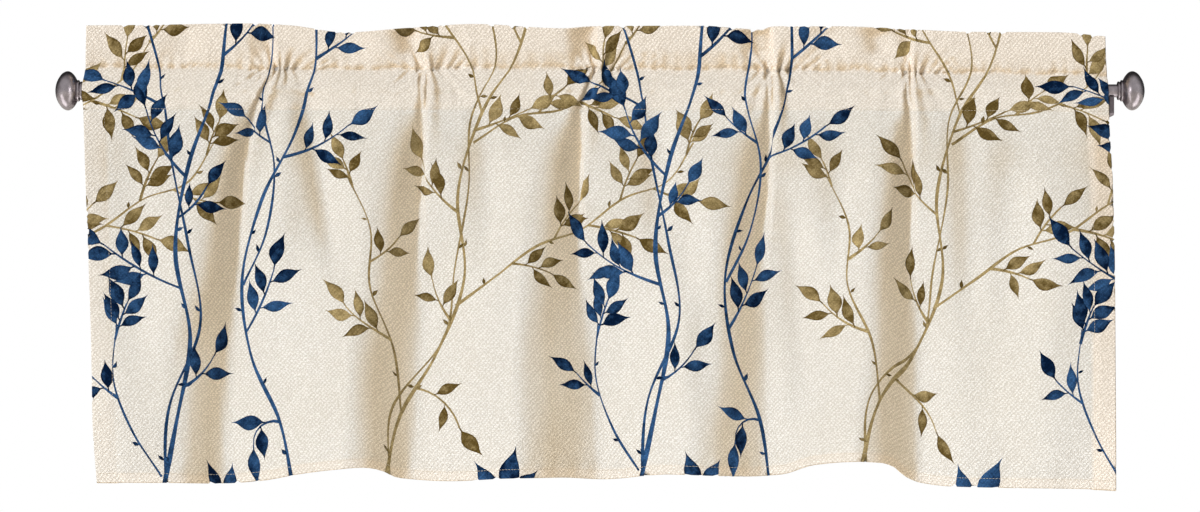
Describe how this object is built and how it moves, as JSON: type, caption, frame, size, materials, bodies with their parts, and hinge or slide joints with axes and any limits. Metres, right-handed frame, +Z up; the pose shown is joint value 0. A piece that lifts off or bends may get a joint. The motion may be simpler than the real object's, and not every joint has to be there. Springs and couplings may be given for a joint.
{
  "type": "window valance on a curtain rod",
  "caption": "Printed rod-pocket window valance with a stand-up header and soft folds, hung on a metal rod with knob finials and wall brackets.",
  "frame": {"origin": "on the wall plane at the height of the rod's axis, midway between the two brackets", "axes": "+X along the rod to the right as seen from the room, +Y into the wall, +Z up"},
  "size_m": [1.0912, 0.0947, 0.465],
  "materials": {
    "cloth": "coarse plain-woven cream cloth with a blue and olive leaf print, matt",
    "rod_metal": "pewter-plated steel tube, satin",
    "finial_metal": "pewter-plated, softly polished, darker in the grooves",
    "bracket_metal": "pewter-plated steel, satin"
  },
  "bodies": {
    "root": {"valance_cloth": "cloth", "curtain_rod": "rod_metal", "finial_left": "finial_metal", "finial_right": "finial_metal", "bracket_left": "bracket_metal", "bracket_right": "bracket_metal"}
  },
  "joints": []
}
